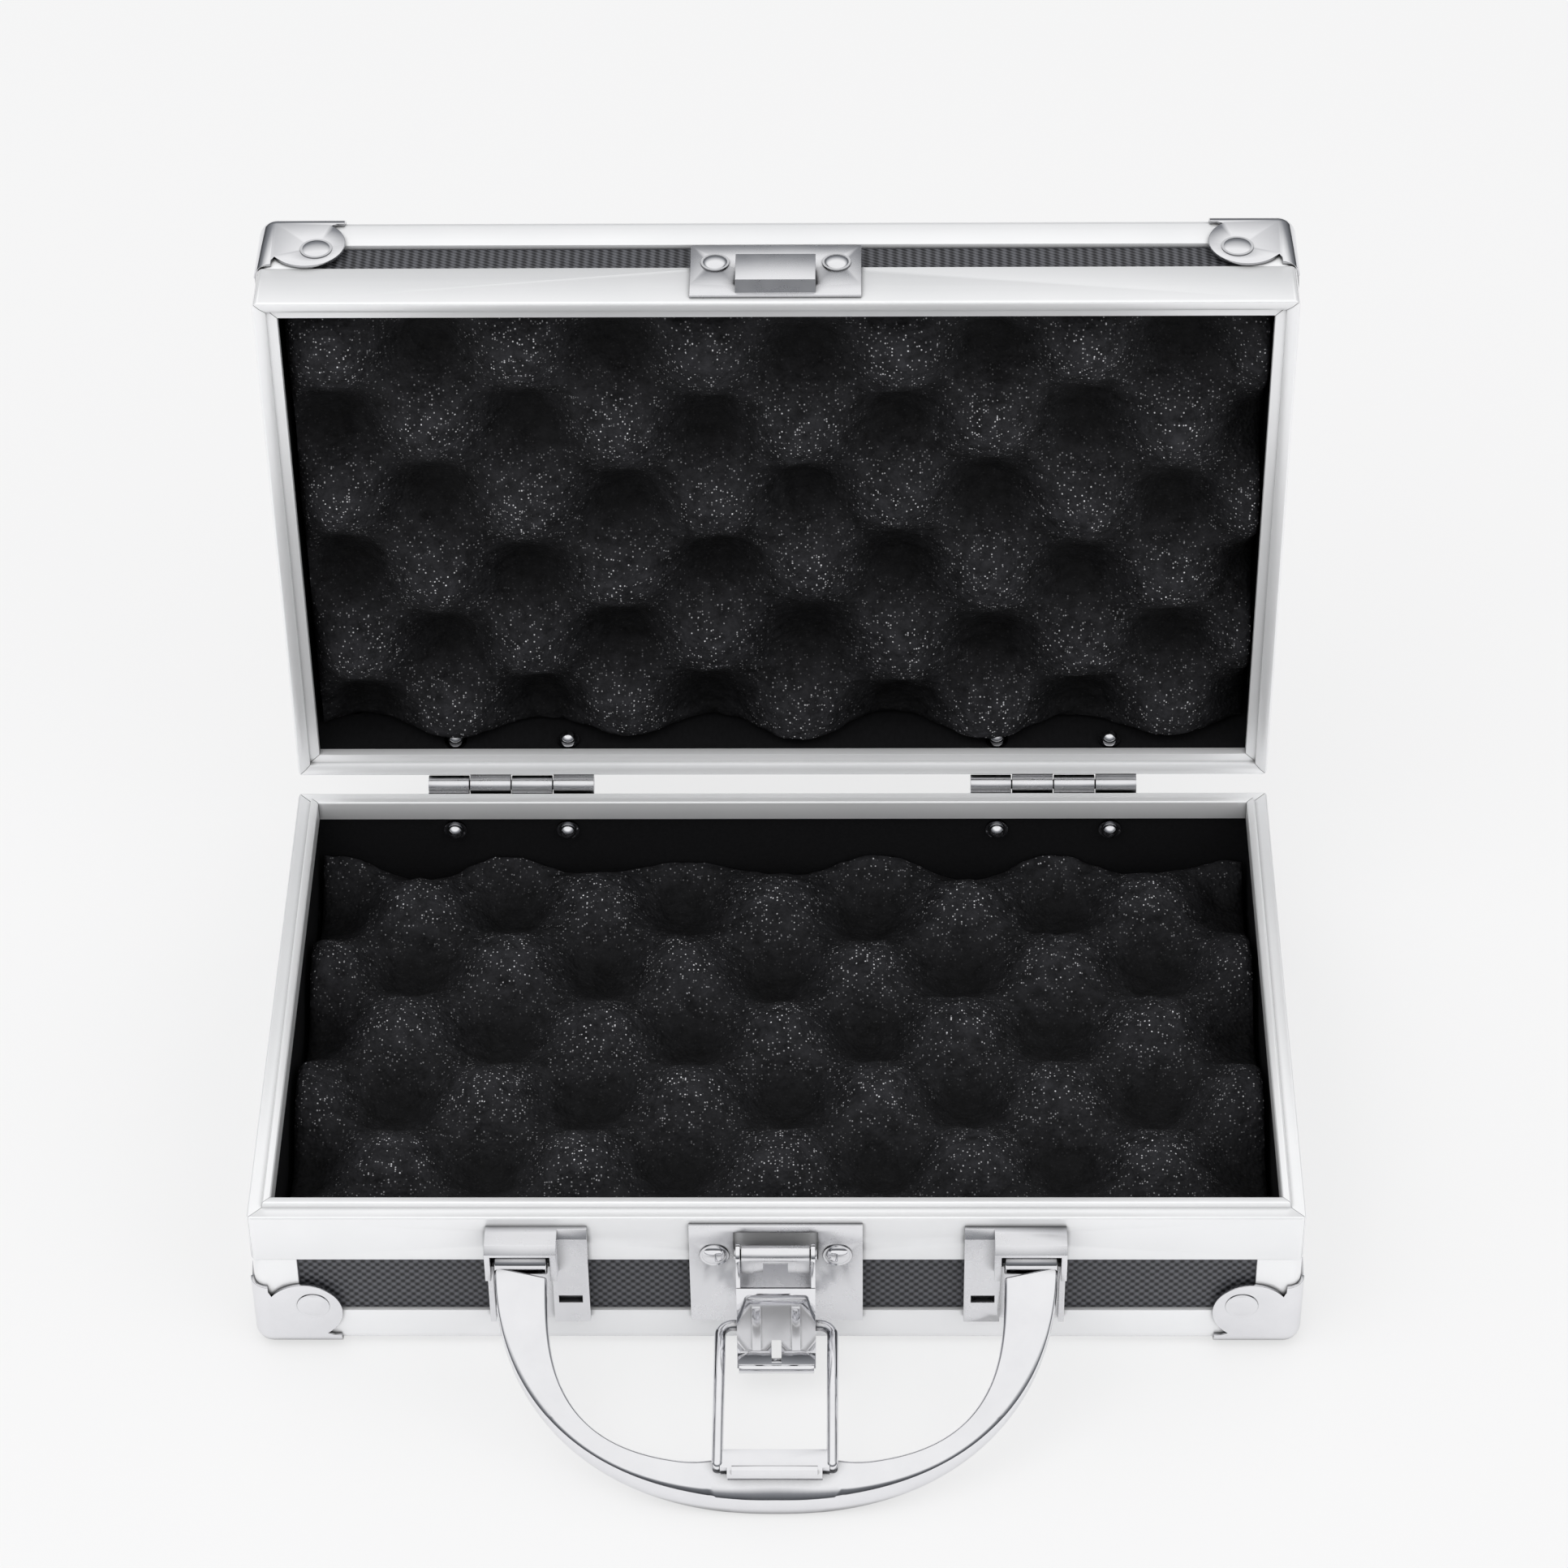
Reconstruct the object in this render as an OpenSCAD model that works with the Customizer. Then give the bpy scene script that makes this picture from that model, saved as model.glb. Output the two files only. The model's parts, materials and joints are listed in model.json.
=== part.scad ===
// Small aluminium-framed microphone case, shown open.
// A lidded box of black panels in extruded rims, with corner caps, a toggle latch,
// a folding carrying handle and egg-crate foam pads.
// The origin is the middle of the open case's footprint, on the surface it stands on.
// X runs along the front, Y from the front to the rear, Z up.

/* [Case] */

// Outer width of the case
case_w = 240; // [200:1:320]
// Outer depth of the case, front to rear
case_d = 144.5; // [120:0.5:220]
// Height of the lower half, up to the land of its rim
base_h = 41.5; // [38:0.5:70]
// Height of the lid, from its rim to its top
lid_h = 33.5; // [30:0.5:60]
// Thickness of the panels
panel_t = 3; // [2:0.5:5]
// Angle that the lid stands open at
lid_open = 90; // [0:1:90]

/* [Frame] */

// Wall of the extruded frame
frame_t = 1.2; // [0.8:0.1:2]
// Height of the rim's outer band
rim_band = 13.6; // [11:0.1:18]
// Leg of the edge angles
edge_leg = 10.8; // [8:0.1:14]
// Leg of the corner posts
post_leg = 10.5; // [8:0.1:14]
// Outer radius of the edges and corners
edge_r = 3.3; // [2.5:0.1:5]
// Radius of the rim's corners in plan
rim_r = 1.6; // [1:0.1:3]
// How far the lower rim's tongue stands up
tongue_h = 1.5; // [1:0.1:2]
// Gap left where two mitred pieces meet
mitre_gap = 0.1; // [0:0.05:0.3]
// Gap between the two rims when the lid is shut
seam_gap = 0.15; // [0.1:0.05:0.5]

/* [Corner caps] */

// Thickness of a cap
cap_t = 0.9; // [0.6:0.1:1.5]
// Centre of a lobe, from both edges of its face
lobe_at = 11.2; // [10:0.1:14]
// Radius of a lobe
lobe_r = 8.8; // [8:0.1:10]
// Centre of the small lobe on an edge, from the corner
edge_lobe_at = 15.3; // [14:0.1:18]
// Radius of the small lobe
edge_lobe_r = 4; // [3:0.1:5]
// Rivet centre, from both edges of its face
rivet_at = 13.4; // [12:0.1:16]
// Radius of a cap rivet's head
rivet_r = 3.7; // [3:0.1:4.5]
// Height of a cap rivet's head
rivet_h = 0.6; // [0.4:0.1:1.2]

/* [Hinges] */

// Distance from the middle of the case to a hinge's middle
hinge_at = 67.2; // [50:0.1:90]
// Width of a hinge
hinge_w = 41; // [36:0.5:50]
// Hinge axis behind the rear face
hinge_off = 2.9; // [2.6:0.1:4]
// Outer radius of the knuckles
knuckle_r = 2.4; // [2:0.1:3]
// Radius of the hinge pin
hinge_pin_r = 1.2; // [1:0.05:1.5]
// Thickness of the hinge leaves
leaf_t = 1.2; // [1:0.1:1.6]
// Length of a leaf, from the hinge axis
leaf_len = 15; // [13:0.5:18]
// Distance between a leaf's two screws
screw_pitch = 28; // [24:0.5:32]
// Screw centre, from the parting plane
screw_at = 8; // [7:0.1:10]

/* [Latch] */

// Width of the latch plate and the catch plate
plate_w = 39.4; // [34:0.2:46]
// Bottom edge of the latch plate
plate_low = 8.8; // [7:0.1:10]
// Top edge of the latch plate
plate_top = 40; // [38:0.1:41]
// Latch pivot in front of the case
pivot_q = 6; // [5.5:0.1:8]
// Height of the latch pivot
pivot_z = 36; // [34:0.1:37]
// Bail hole in front of the case
bail_q = 7.9; // [7:0.1:9]
// Height of the bail hole
bail_z = 14.4; // [13:0.1:16]
// Outer width of the lever
lever_w = 18; // [16:0.5:22]
// Radius of the bail's wire
wire_r = 1.3; // [1:0.05:1.6]
// Length of the bail, from its hole to its far end
bail_len = 42; // [38:0.1:46]
// Distance from the middle to a leg of the bail
bail_half = 12.85; // [12:0.05:15]
// How far the bail lies below the level over the handle
bail_drop = 5; // [0:0.1:12]
// Rivets of the latch plate, from the middle
latch_rivet_at = 14; // [12:0.1:17]
// Height of the latch plate's rivets
latch_rivet_z = 31.6; // [30:0.1:34]
// Rivets of the catch plate, above the lid's rim
catch_rivet_h = 13.8; // [12:0.1:16]

/* [Handle] */

// Distance from the middle to the middle of an arm
arm_at = 57.8; // [50:0.1:70]
// Width of an arm at its pivot
arm_w = 12.1; // [9:0.1:14]
// Reach of the handle from its pivot
handle_reach = 57; // [50:0.5:60]
// Handle pivot in front of the case
handle_q = 4; // [3.8:0.1:6]
// Height of the handle pivot
handle_z = 32; // [30:0.1:34]
// How far the handle hangs below the level when its bow rests on the table
handle_drop = 29.7; // [20:0.1:45]
// Thickness of the grip
grip_t = 5.8; // [5:0.1:8]
// Thickness of the arms
arm_t = 4; // [3.4:0.1:5]
// Radius of the handle's pins
handle_pin_r = 1.5; // [1.2:0.05:1.8]

/* [Foam] */

// Thickness of the lower pad at its peaks
base_foam_t = 24.4; // [14:0.1:40]
// Thickness of the lid's pad at its peaks
lid_foam_t = 25; // [14:0.1:40]
// Space between a pad and what is round it
foam_gap = 0.3; // [0.2:0.1:2]

/* [Part] */

// Piece to draw

/* [Hidden] */

$fn = 64;
cut = 1;
metal = [0.86, 0.86, 0.87];
bright = [0.8, 0.8, 0.82];
black = [0.16, 0.16, 0.17];
foam_colour = [0.06, 0.06, 0.065];

half_w = case_w / 2;
half_d = case_d / 2;
stand = cap_t + rivet_h;
slot_w = panel_t;
panel_in = frame_t + panel_t;
rim_in = panel_in + frame_t;
inner_band = 4;
base_slot = 1.5;
lid_slot = 3;
land_w = 3.3;
lip_chamfer = 0.3;
edge_round = 0.6;
recess_at = 3;
recess_h = 1.75;
running = 0.05;

lid_top = base_h + seam_gap + lid_h;
hinge_y = half_d + hinge_off;
rear_reach = hinge_off + lid_h + seam_gap + stand;
front_reach = handle_q + handle_reach * cos(handle_drop);
case_y = (front_reach - rear_reach) / 2;

shank_r = 1.5;
knuckles = 4;
knuckle_gap = 0.3;
knuckle_w = (hinge_w - (knuckles - 1) * knuckle_gap) / knuckles;
knuckle_clear = 0.3;
stop_len = 4.5;
stop_clear = 0.05;

web_t = 1.2;
web_q = 0.7;
window_half = 9.6;
window_top = 38.4;
window_low = 30;
roll_half = 7.7;
roll_r = 2.15;
latch_pin_r = 1.25;
flange_t = 1;
flange_half = lever_w / 2 - flange_t;
eye_r = 2.6;
face_t = 1;
hook_t = 1.4;
hook_at = bail_len - hook_t;
bail_plate_t = 1.4;
hook_clear = 0.15;
catch_lip_q = 4.2;
bail_lean = asin((bail_q - catch_lip_q - 2 * foam_gap - bail_plate_t / 2) / (hook_at - 3));
catch_end = bail_z + hook_at * cos(bail_lean) - hook_clear - base_h - seam_gap;

bracket_out = arm_at + arm_w / 2 + 2;
bracket_in = arm_at - 15;
bracket_low = 9;
bracket_top = 39;
bracket_t = 2.4;
hood_q = 7.6;
hood_low = 25.5;
hood_wall = 1.5;
bore_side = 0.7;
arm_eye_r = 3.2;
bracket_rivet_at = bracket_in + 4;
bracket_rivet_z = 35;

nut_r = 2.8;
nut_t = 0.8;
nut_dome_r = 2.2;
nut_dome_t = 1.6;

// ---------- general shapes ----------

module along_x(w) {
    rotate([90, 0, 90])
        translate([0, 0, -w / 2])
            linear_extrude(w)
                children();
}

module bar_x(r, x0, x1, y, z) {
    translate([x0, y, z])
        rotate([0, 90, 0])
            cylinder(r = r, h = x1 - x0);
}

module bar_y(r, x, y0, y1, z) {
    translate([x, y1, z])
        rotate([90, 0, 0])
            cylinder(r = r, h = y1 - y0);
}

module block(low, high) {
    translate(low)
        cube(high - low);
}

module both_sides() {
    children();
    mirror([1, 0, 0])
        children();
}

module four_corners() {
    both_sides() {
        children();
        mirror([0, 1, 0])
            children();
    }
}

module rounded_plan(w, d, r) {
    square([w - 2 * r, d], center = true);
    square([w, d - 2 * r], center = true);
    for (x = [-1, 1])
        for (y = [-1, 1])
            translate([x * (w / 2 - r), y * (d / 2 - r)])
                circle(r);
}

// A solid tray with rounded upright corners and a rounded bottom.
module tray(inset, top, r) {
    w = case_w - 2 * inset;
    d = case_d - 2 * inset;
    translate([0, 0, inset + r])
        linear_extrude(top - inset - r)
            rounded_plan(w, d, r);
    translate([0, 0, inset])
        linear_extrude(r)
            square([w - 2 * r, d - 2 * r], center = true);
    for (y = [-1, 1])
        bar_x(r, -w / 2 + r, w / 2 - r, y * (d / 2 - r), inset + r);
    for (x = [-1, 1])
        bar_y(r, x * (w / 2 - r), -d / 2 + r, d / 2 - r, inset + r);
    for (x = [-1, 1])
        for (y = [-1, 1])
            translate([x * (w / 2 - r), y * (d / 2 - r), inset + r])
                sphere(r);
}

// ---------- placing ----------

module at_base() {
    translate([0, case_y, stand])
        children();
}

// The lid is drawn shut, upside down on the base, and turned open about the hinge.
module at_lid() {
    at_base()
        translate([0, hinge_y, base_h])
            rotate([-lid_open, 0, 0])
                translate([0, -hinge_y, -base_h])
                    children();
}

module lid_shell() {
    at_lid()
        translate([0, 0, lid_top])
            mirror([0, 0, 1])
                children();
}

// ---------- fasteners' holes ----------

module cap_rivet_bores(r) {
    four_corners() {
        bar_y(r, -half_w + rivet_at, -half_d - stand - cut, -half_d + panel_in, rivet_at);
        bar_x(r, -half_w - stand - cut, -half_w + panel_in, -half_d + rivet_at, rivet_at);
        translate([-half_w + rivet_at, -half_d + rivet_at, -stand - cut])
            cylinder(r = r, h = stand + cut + panel_in);
    }
}

module latch_bores(z) {
    for (x = [-1, 1])
        bar_y(shank_r, x * latch_rivet_at, -half_d - 3, -half_d + panel_in, z);
}

module bracket_bores() {
    for (x = [-1, 1])
        bar_y(shank_r, x * bracket_rivet_at, -half_d - bracket_t + 0.8, -half_d + panel_in, bracket_rivet_z);
}

module screw_bores(z) {
    for (s = [-1, 1])
        for (x = [-0.5, 0.5])
            bar_y(shank_r, s * hinge_at + x * screw_pitch, half_d - panel_in, half_d + leaf_t, z);
}

// ---------- frame ----------

module rim_corner_round(h) {
    translate([0, h - edge_round])
        difference() {
            translate([-cut, 0])
                square([cut + edge_round, edge_round + cut]);
            translate([edge_round, 0])
                circle(edge_round);
        }
}

module base_rim_profile() {
    h = base_h;
    difference() {
        polygon([
            [0, h - rim_band], [0, h], [land_w, h], [land_w + 0.2, h + tongue_h - lip_chamfer],
            [land_w + 0.2 + lip_chamfer, h + tongue_h], [rim_in - lip_chamfer, h + tongue_h],
            [rim_in, h + tongue_h - lip_chamfer], [rim_in, h - inner_band], [panel_in, h - inner_band],
            [panel_in, h - base_slot], [frame_t, h - base_slot], [frame_t, h - rim_band]
        ]);
        rim_corner_round(h);
    }
}

module lid_rim_profile() {
    h = lid_h;
    difference() {
        polygon([
            [0, h - rim_band], [0, h], [recess_at - 1.3, h], [recess_at, h - edge_round],
            [recess_at, h - recess_h], [rim_in, h - recess_h], [rim_in, h - inner_band],
            [panel_in, h - inner_band], [panel_in, h - lid_slot], [frame_t, h - lid_slot],
            [frame_t, h - rim_band]
        ]);
        rim_corner_round(h);
    }
}

module mitre_front(top) {
    g = mitre_gap * sqrt(0.5);
    m = 2 * edge_leg;
    translate([0, 0, -cut])
        linear_extrude(top + 2 * cut)
            polygon([
                [-half_w - cut + g, -half_d - cut], [half_w + cut - g, -half_d - cut],
                [half_w - m - g, -half_d + m], [-half_w + m + g, -half_d + m]
            ]);
}

module mitre_left(top) {
    g = mitre_gap * sqrt(0.5);
    m = 2 * edge_leg;
    translate([0, 0, -cut])
        linear_extrude(top + 2 * cut)
            polygon([
                [-half_w - cut, -half_d - cut + g], [-half_w - cut, half_d + cut - g],
                [-half_w + m, half_d - m - g], [-half_w + m, -half_d + m + g]
            ]);
}

module rim_outline(top) {
    linear_extrude(top)
        rounded_plan(case_w, case_d, rim_r);
}

module rim_front(top) {
    intersection() {
        translate([0, -half_d, 0])
            along_x(case_w)
                children();
        mitre_front(top);
        rim_outline(top);
    }
}

module rim_left(top) {
    intersection() {
        translate([-half_w, half_d, 0])
            rotate([90, 0, 0])
                linear_extrude(case_d)
                    children();
        mitre_left(top);
        rim_outline(top);
    }
}

module edge_frame() {
    difference() {
        tray(0, edge_leg, edge_r);
        tray(frame_t, edge_leg + cut, edge_r - frame_t);
        translate([0, 0, -cut])
            linear_extrude(edge_leg)
                square([case_w - 2 * edge_leg, case_d - 2 * edge_leg], center = true);
    }
}

module edge_front() {
    intersection() {
        edge_frame();
        mitre_front(edge_leg);
    }
}

module edge_left() {
    intersection() {
        edge_frame();
        mitre_left(edge_leg);
    }
}

module posts(h) {
    translate([0, 0, edge_leg])
        linear_extrude(h - rim_band - edge_leg)
            intersection() {
                difference() {
                    rounded_plan(case_w, case_d, edge_r);
                    rounded_plan(case_w - 2 * frame_t, case_d - 2 * frame_t, edge_r - frame_t);
                }
                for (x = [-1, 1])
                    for (y = [-1, 1])
                        translate([x * (half_w - post_leg / 2), y * (half_d - post_leg / 2)])
                            square(post_leg, center = true);
            }
}

// ---------- panels ----------

module floor_panel() {
    difference() {
        intersection() {
            tray(frame_t, edge_leg, edge_r - frame_t);
            block([-half_w, -half_d, 0], [half_w, half_d, panel_in]);
        }
        cap_rivet_bores(shank_r);
    }
}

module front_panel(top) {
    difference() {
        intersection() {
            tray(frame_t, top, edge_r - frame_t);
            block([-half_w, -half_d, panel_in], [half_w, -half_d + panel_in, top]);
        }
        cap_rivet_bores(shank_r);
    }
}

module left_panel(top) {
    difference() {
        block([-half_w + frame_t, -half_d + panel_in, panel_in], [-half_w + panel_in, half_d - panel_in, top]);
        cap_rivet_bores(shank_r);
    }
}

// ---------- corner caps ----------

module cap_outline() {
    translate([-2, -2])
        square([lobe_at + 2, edge_lobe_at + 1.7]);
    translate([-2, -2])
        square([edge_lobe_at + 1.7, lobe_at + 2]);
    translate([lobe_at, lobe_at])
        circle(lobe_r);
    translate([0, edge_lobe_at])
        circle(edge_lobe_r);
    translate([edge_lobe_at, 0])
        circle(edge_lobe_r);
}

module caps() {
    reach = edge_r + cap_t;
    difference() {
        intersection() {
            tray(-cap_t, 2 * lobe_at + cut, reach);
            four_corners() {
                translate([-half_w, -half_d + edge_r, 0])
                    rotate([90, 0, 0])
                        linear_extrude(reach)
                            cap_outline();
                translate([-half_w - cap_t, -half_d, 0])
                    rotate([90, 0, 90])
                        linear_extrude(reach)
                            cap_outline();
                translate([-half_w, -half_d, -cap_t])
                    linear_extrude(reach)
                        cap_outline();
            }
        }
        tray(0, 3 * lobe_at, edge_r);
        cap_rivet_bores(shank_r);
    }
}

module cap_rivet() {
    cylinder(r = shank_r, h = panel_in + cap_t);
    mirror([0, 0, 1]) {
        cylinder(r = rivet_r, h = rivet_h / 2);
        translate([0, 0, rivet_h / 2])
            cylinder(r1 = rivet_r, r2 = rivet_r - rivet_h, h = rivet_h / 2);
    }
}

module cap_rivets() {
    four_corners() {
        translate([-half_w + rivet_at, -half_d + rivet_at, -cap_t])
            cap_rivet();
        translate([-half_w + rivet_at, -half_d - cap_t, rivet_at])
            rotate([-90, 0, 0])
                cap_rivet();
        translate([-half_w - cap_t, -half_d + rivet_at, rivet_at])
            rotate([0, 90, 0])
                cap_rivet();
    }
}

// ---------- lower half ----------

module base_bottom_panel() {
    color(black)
        at_base()
            floor_panel();
}

module base_front_panel() {
    color(black)
        at_base()
            difference() {
                front_panel(base_h - base_slot);
                latch_bores(latch_rivet_z);
                bracket_bores();
            }
}

module base_rear_panel() {
    color(black)
        at_base()
            difference() {
                mirror([0, 1, 0])
                    front_panel(base_h - base_slot);
                screw_bores(base_h - screw_at);
            }
}

module base_left_panel() {
    color(black)
        at_base()
            left_panel(base_h - base_slot);
}

module base_right_panel() {
    color(black)
        at_base()
            mirror([1, 0, 0])
                left_panel(base_h - base_slot);
}

module base_rim_front() {
    color(metal)
        at_base()
            difference() {
                rim_front(base_h + tongue_h)
                    base_rim_profile();
                latch_bores(latch_rivet_z);
                bracket_bores();
            }
}

module base_rim_rear() {
    color(metal)
        at_base()
            difference() {
                mirror([0, 1, 0])
                    rim_front(base_h + tongue_h)
                        base_rim_profile();
                screw_bores(base_h - screw_at);
            }
}

module base_rim_left() {
    color(metal)
        at_base()
            rim_left(base_h + tongue_h)
                base_rim_profile();
}

module base_rim_right() {
    color(metal)
        at_base()
            mirror([1, 0, 0])
                rim_left(base_h + tongue_h)
                    base_rim_profile();
}

module base_edge_front() {
    color(metal)
        at_base()
            edge_front();
}

module base_edge_rear() {
    color(metal)
        at_base()
            mirror([0, 1, 0])
                edge_front();
}

module base_edge_left() {
    color(metal)
        at_base()
            edge_left();
}

module base_edge_right() {
    color(metal)
        at_base()
            mirror([1, 0, 0])
                edge_left();
}

module base_corner_posts() {
    color(metal)
        at_base()
            posts(base_h);
}

module base_corner_caps() {
    color(bright)
        at_base()
            caps();
}

module base_cap_rivets() {
    color(bright)
        at_base()
            cap_rivets();
}

// ---------- lid ----------

module lid_top_panel() {
    color(black)
        lid_shell()
            floor_panel();
}

module lid_front_panel() {
    color(black)
        lid_shell()
            difference() {
                front_panel(lid_h - lid_slot);
                latch_bores(lid_h - catch_rivet_h);
            }
}

module lid_rear_panel() {
    color(black)
        lid_shell()
            difference() {
                mirror([0, 1, 0])
                    front_panel(lid_h - lid_slot);
                screw_bores(lid_h - screw_at);
            }
}

module lid_left_panel() {
    color(black)
        lid_shell()
            left_panel(lid_h - lid_slot);
}

module lid_right_panel() {
    color(black)
        lid_shell()
            mirror([1, 0, 0])
                left_panel(lid_h - lid_slot);
}

module lid_rim_front() {
    color(metal)
        lid_shell()
            difference() {
                rim_front(lid_h)
                    lid_rim_profile();
                latch_bores(lid_h - catch_rivet_h);
            }
}

module lid_rim_rear() {
    color(metal)
        lid_shell()
            difference() {
                mirror([0, 1, 0])
                    rim_front(lid_h)
                        lid_rim_profile();
                screw_bores(lid_h - screw_at);
            }
}

module lid_rim_left() {
    color(metal)
        lid_shell()
            rim_left(lid_h)
                lid_rim_profile();
}

module lid_rim_right() {
    color(metal)
        lid_shell()
            mirror([1, 0, 0])
                rim_left(lid_h)
                    lid_rim_profile();
}

module lid_edge_front() {
    color(metal)
        lid_shell()
            edge_front();
}

module lid_edge_rear() {
    color(metal)
        lid_shell()
            mirror([0, 1, 0])
                edge_front();
}

module lid_edge_left() {
    color(metal)
        lid_shell()
            edge_left();
}

module lid_edge_right() {
    color(metal)
        lid_shell()
            mirror([1, 0, 0])
                edge_left();
}

module lid_corner_posts() {
    color(metal)
        lid_shell()
            posts(lid_h);
}

module lid_corner_caps() {
    color(bright)
        lid_shell()
            caps();
}

module lid_cap_rivets() {
    color(bright)
        lid_shell()
            cap_rivets();
}

// ---------- hinges ----------

module knuckle(k, r) {
    x = -hinge_w / 2 + k * (knuckle_w + knuckle_gap);
    bar_x(r, x, x + knuckle_w, hinge_y, base_h);
}

module knuckle_space(k) {
    x = -hinge_w / 2 + k * (knuckle_w + knuckle_gap) - knuckle_gap;
    reach = knuckle_r - knuckle_clear;
    block([x, half_d - cut, base_h - reach], [x + knuckle_w + 2 * knuckle_gap, hinge_y, base_h + reach]);
}

module leaf(low, high) {
    block([-hinge_w / 2, half_d, low], [hinge_w / 2, half_d + leaf_t, high]);
}

module hinge_base_leaves() {
    color(bright)
        at_base()
            difference() {
                for (s = [-1, 1])
                    translate([s * hinge_at, 0, 0])
                        difference() {
                            union() {
                                difference() {
                                    leaf(base_h - leaf_len, base_h);
                                    knuckle_space(1);
                                    knuckle_space(3);
                                }
                                knuckle(0, knuckle_r);
                                knuckle(2, knuckle_r);
                            }
                            bar_x(hinge_pin_r, -hinge_w, hinge_w, hinge_y, base_h);
                        }
                screw_bores(base_h - screw_at);
            }
}

// The stop lug meets the lower leaf when the lid stands open.
module stop_lug(k) {
    x = -hinge_w / 2 + k * (knuckle_w + knuckle_gap);
    bottom = base_h - hinge_off + leaf_t + stop_clear;
    block([x, hinge_y, bottom], [x + knuckle_w, hinge_y + stop_len, base_h + 0.2]);
}

module hinge_lid_leaves() {
    color(bright)
        at_lid()
            difference() {
                for (s = [-1, 1])
                    translate([s * hinge_at, 0, 0])
                        difference() {
                            union() {
                                difference() {
                                    leaf(base_h + seam_gap, base_h + leaf_len);
                                    knuckle_space(0);
                                    knuckle_space(2);
                                }
                                for (k = [1, 3]) {
                                    knuckle(k, knuckle_r);
                                    stop_lug(k);
                                }
                            }
                            bar_x(hinge_pin_r + running, -hinge_w, hinge_w, hinge_y, base_h);
                        }
                screw_bores(base_h + seam_gap + screw_at);
            }
}

module hinge_pins() {
    color(bright)
        at_base()
            for (s = [-1, 1])
                bar_x(hinge_pin_r, s * hinge_at - hinge_w / 2, s * hinge_at + hinge_w / 2, hinge_y, base_h);
}

module screws(z) {
    head = 1.3;
    for (s = [-1, 1])
        for (x = [-0.5, 0.5]) {
            at = s * hinge_at + x * screw_pitch;
            bar_y(shank_r, at, half_d - panel_in - nut_dome_t, half_d + leaf_t, z);
            translate([at, half_d + leaf_t, z])
                rotate([-90, 0, 0]) {
                    cylinder(r = nut_dome_r, h = head / 2);
                    translate([0, 0, head / 2])
                        cylinder(r1 = nut_dome_r, r2 = shank_r, h = head / 2);
                }
        }
}

module nuts(z) {
    difference() {
        for (s = [-1, 1])
            for (x = [-0.5, 0.5])
                translate([s * hinge_at + x * screw_pitch, half_d - panel_in, z])
                    rotate([90, 0, 0]) {
                        cylinder(r = nut_r, h = nut_t);
                        cylinder(r = nut_dome_r, h = nut_t + nut_dome_t / 2);
                        translate([0, 0, nut_t + nut_dome_t / 2])
                            cylinder(r1 = nut_dome_r, r2 = shank_r, h = nut_dome_t / 2);
                    }
        for (s = [-1, 1])
            for (x = [-0.5, 0.5])
                bar_y(shank_r, s * hinge_at + x * screw_pitch, half_d - panel_in - nut_dome_t, half_d, z);
    }
}

module hinge_base_screws() {
    color(bright)
        at_base()
            screws(base_h - screw_at);
}

module hinge_base_nuts() {
    color(bright)
        at_base()
            nuts(base_h - screw_at);
}

module hinge_lid_screws() {
    color(bright)
        at_lid()
            screws(base_h + seam_gap + screw_at);
}

module hinge_lid_nuts() {
    color(bright)
        at_lid()
            nuts(base_h + seam_gap + screw_at);
}

// ---------- latch ----------

module plate_rivets(z, q) {
    head = 1.1;
    for (x = [-1, 1]) {
        bar_y(shank_r, x * latch_rivet_at, -half_d - q, -half_d + panel_in, z);
        translate([x * latch_rivet_at, -half_d - q, z])
            rotate([90, 0, 0]) {
                cylinder(r = rivet_r - 0.3, h = head / 2);
                translate([0, 0, head / 2])
                    cylinder(r1 = rivet_r - 0.3, r2 = rivet_r - 1.3, h = head / 2);
            }
    }
}

// A web that stands off the front, a tongue curled round the pivot pin and a sloping top strip.
module latch_plate() {
    q = web_q + web_t;
    color(bright)
        at_base()
            translate([0, -half_d, 0])
                difference() {
                    union() {
                        difference() {
                            along_x(plate_w)
                                polygon([
                                    [0, plate_low], [-web_t, plate_low], [-q, plate_low + web_q],
                                    [-q, plate_top - 4.4], [-web_t, plate_top], [0, plate_top],
                                    [0, plate_top - web_t], [-web_q, plate_top - 4.8],
                                    [-web_q, plate_low + web_t + web_q], [0, plate_low + web_t]
                                ]);
                            block([-window_half, -hood_q, window_low], [window_half, cut, window_top]);
                        }
                        along_x(2 * roll_half) {
                            polygon([
                                [-web_q, window_low - cut], [-q, window_low - cut], [-q, window_low + 0.5],
                                [-pivot_q + 0.6, pivot_z - roll_r + 0.1], [-pivot_q + 1.6, pivot_z],
                                [-web_q, window_low + 1.2]
                            ]);
                            translate([-pivot_q, pivot_z])
                                circle(roll_r);
                        }
                        for (x = [-1, 1])
                            translate([x * (roll_half + 2.8) / 2, 0, 0])
                                along_x(roll_half - 2.8)
                                    polygon([
                                        [-pivot_q - roll_r, pivot_z], [-pivot_q - roll_r + 0.1, pivot_z - 4],
                                        [-pivot_q - roll_r + 1, pivot_z - 4], [-pivot_q - roll_r + 1.2, pivot_z]
                                    ]);
                    }
                    bar_x(latch_pin_r, -plate_w, plate_w, -pivot_q, pivot_z);
                    translate([0, half_d, 0])
                        latch_bores(latch_rivet_z);
                }
}

module latch_plate_rivets() {
    color(bright)
        at_base()
            plate_rivets(latch_rivet_z, web_q + web_t);
}

module latch_pin() {
    color(bright)
        at_base()
            bar_x(latch_pin_r, -lever_w / 2 - 0.4, lever_w / 2 + 0.4, -half_d - pivot_q, pivot_z);
}

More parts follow.
